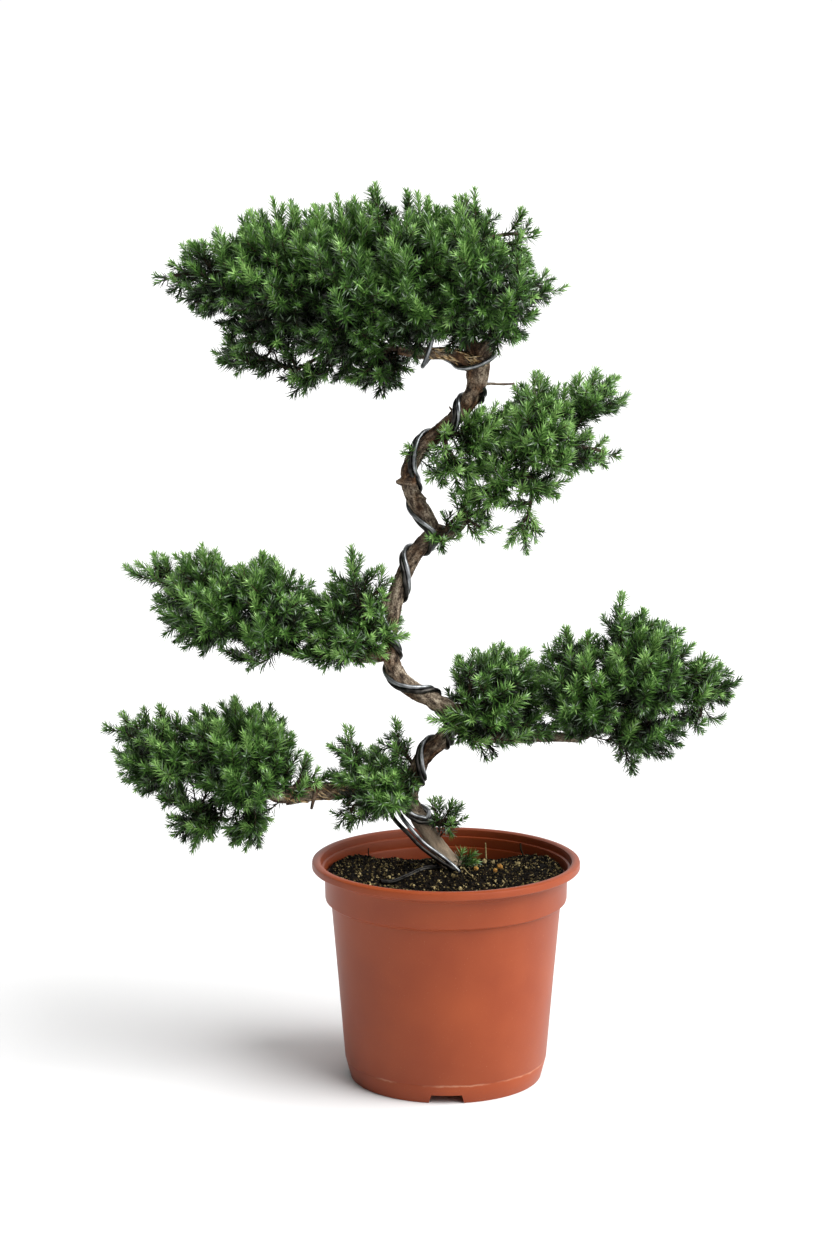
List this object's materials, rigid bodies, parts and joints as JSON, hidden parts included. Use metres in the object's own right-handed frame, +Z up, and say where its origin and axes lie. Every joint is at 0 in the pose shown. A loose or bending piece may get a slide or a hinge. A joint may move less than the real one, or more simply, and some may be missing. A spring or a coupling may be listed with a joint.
{
  "type": "juniper bonsai in a nursery pot",
  "caption": "Small juniper bonsai with a bent, wired trunk, pads of needle foliage on short boughs, and compost, standing in a round terracotta-coloured plastic pot.",
  "frame": {"origin": "centre of the pot's flat underside, on the surface that it stands on", "axes": "+Z up the plant, -Y is the front that the picture shows, +X is to the right in that view"},
  "size_m": [0.3523, 0.152, 0.5023],
  "materials": {
    "pot": "satin moulded polypropylene, terracotta colour",
    "compost": "damp crumbly bark compost",
    "bark": "grey-brown flaking bark",
    "wire": "bare satin aluminium wire",
    "dark_wire": "weathered dark aluminium wire",
    "needles": "soft green juniper needles"
  },
  "bodies": {
    "root": {"pot": "pot", "compost": "compost", "trunk": "bark", "bough_lower_left": "bark", "bough_left": "bark", "bough_right": "bark", "bough_upper_right": "bark", "bough_crown_left": "bark", "bough_crown_middle": "bark", "bough_crown_right": "bark", "wire_bright": "wire", "wire_crown": "wire", "wire_dark": "dark_wire", "wire_tail": "dark_wire", "foliage_crown_left": "needles", "foliage_crown_top": "needles", "foliage_crown_right": "needles", "foliage_upper_right": "needles", "foliage_trunk_upper": "needles", "foliage_elbow": "needles", "foliage_left_outer": "needles", "foliage_left_inner": "needles", "foliage_right_inner": "needles", "foliage_right_outer": "needles", "foliage_lower_left_outer": "needles", "foliage_lower_left_inner": "needles", "foliage_trunk_foot": "needles"}
  },
  "joints": []
}
